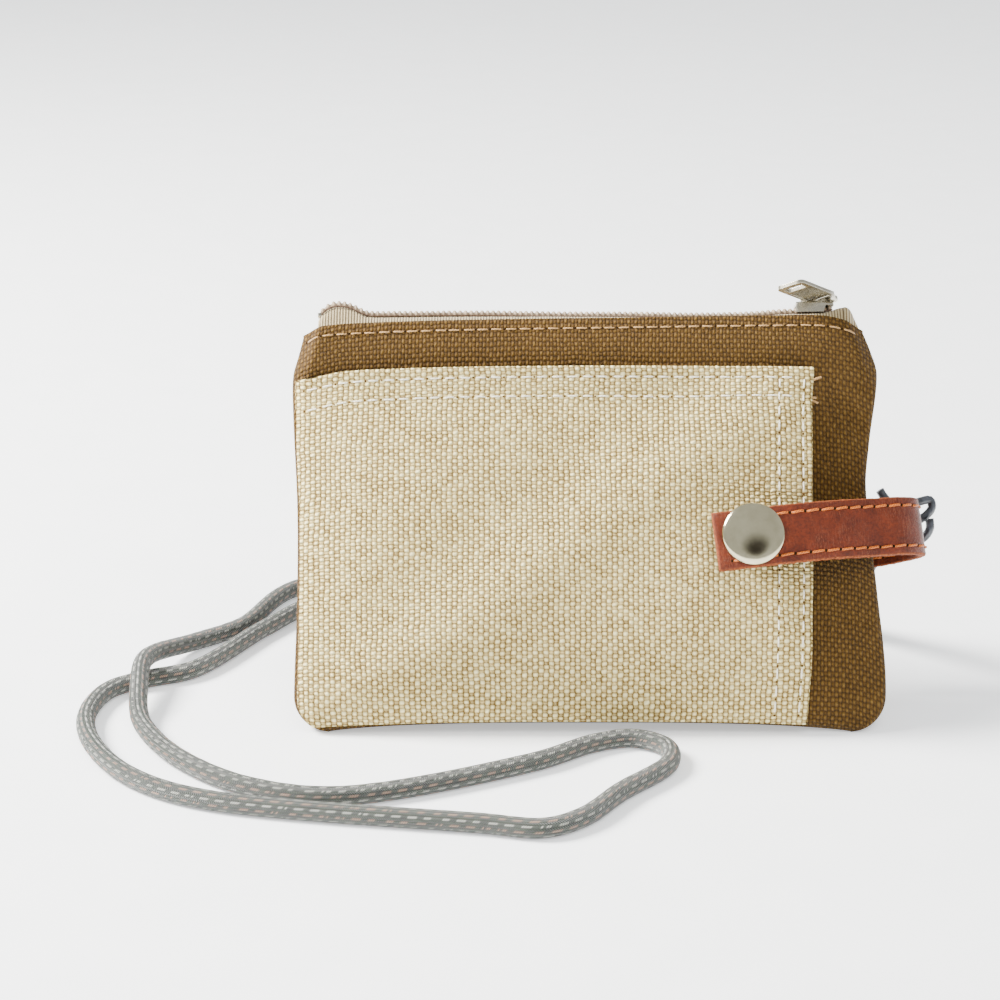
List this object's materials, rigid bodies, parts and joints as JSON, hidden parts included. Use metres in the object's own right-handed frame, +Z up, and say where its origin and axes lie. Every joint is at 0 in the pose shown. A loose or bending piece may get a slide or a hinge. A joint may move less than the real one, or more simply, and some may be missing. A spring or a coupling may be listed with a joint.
{
  "type": "neck pouch wallet",
  "caption": "Small canvas zip pouch with a card pocket on its front, a leather snap strap round one side and a braided neck cord tied to the strap.",
  "frame": {"origin": "on the floor, under the middle of the pouch's flat resting patch", "axes": "+X along the zip towards the strap, +Y to the back, +Z up from the floor; the pouch's face leans back 27 degrees"},
  "size_m": [0.1819, 0.1536, 0.0906],
  "materials": {
    "canvas": "brown plain-weave canvas",
    "pocket_canvas": "cream plain-weave canvas",
    "binding": "woven binding tape",
    "zip_tape": "beige ribbed zip tape",
    "zip_coil": "nylon coil",
    "nickel": "nickel plate",
    "leather": "reddish brown waxed leather",
    "tie": "black waxed round cord",
    "cord": "grey-green braided cord with white and pink flecks"
  },
  "bodies": {
    "pouch": {"front_panel": "canvas", "back_panel": "canvas", "card_pocket": "pocket_canvas", "seam_binding_left": "binding", "seam_binding_right": "binding", "seam_binding_bottom": "binding", "zip_tape_front": "zip_tape", "zip_tape_back": "zip_tape", "zip_coil_front": "zip_coil", "zip_coil_back": "zip_coil", "zip_top_stop_front": "nickel", "zip_top_stop_back": "nickel", "zip_bottom_stop": "nickel", "strap_back": "leather", "snap_stud": "nickel", "snap_stud_washer": "nickel", "strap_rivet": "nickel", "strap_rivet_washer": "nickel", "cord_tie": "tie", "neck_cord": "cord"},
    "slider": {"slider_body": "nickel", "slider_bridge": "nickel"},
    "pull_tab": {"pull_tab": "nickel"},
    "strap": {"strap_front": "leather", "snap_cap": "nickel", "snap_socket": "nickel"}
  },
  "joints": [
    {"name": "zip_slide", "type": "slide", "parent": "pouch", "child": "slider", "axis": [-1, -0.0024, -0.0047], "range_m": [0, 0.092]},
    {"name": "pull_tab_swing", "type": "hinge", "parent": "slider", "child": "pull_tab", "pos_m": [0.05223, 0.03239, 0.0832], "axis": [-0.0052, 0.454, 0.891], "range_deg": [-3, 110]},
    {"name": "strap_open", "type": "hinge", "parent": "pouch", "child": "strap", "pos_m": [0.06626, 0.00464, 0.04108], "axis": [-0.1219, 0.4506, 0.8844], "range_deg": [0, 100]}
  ]
}
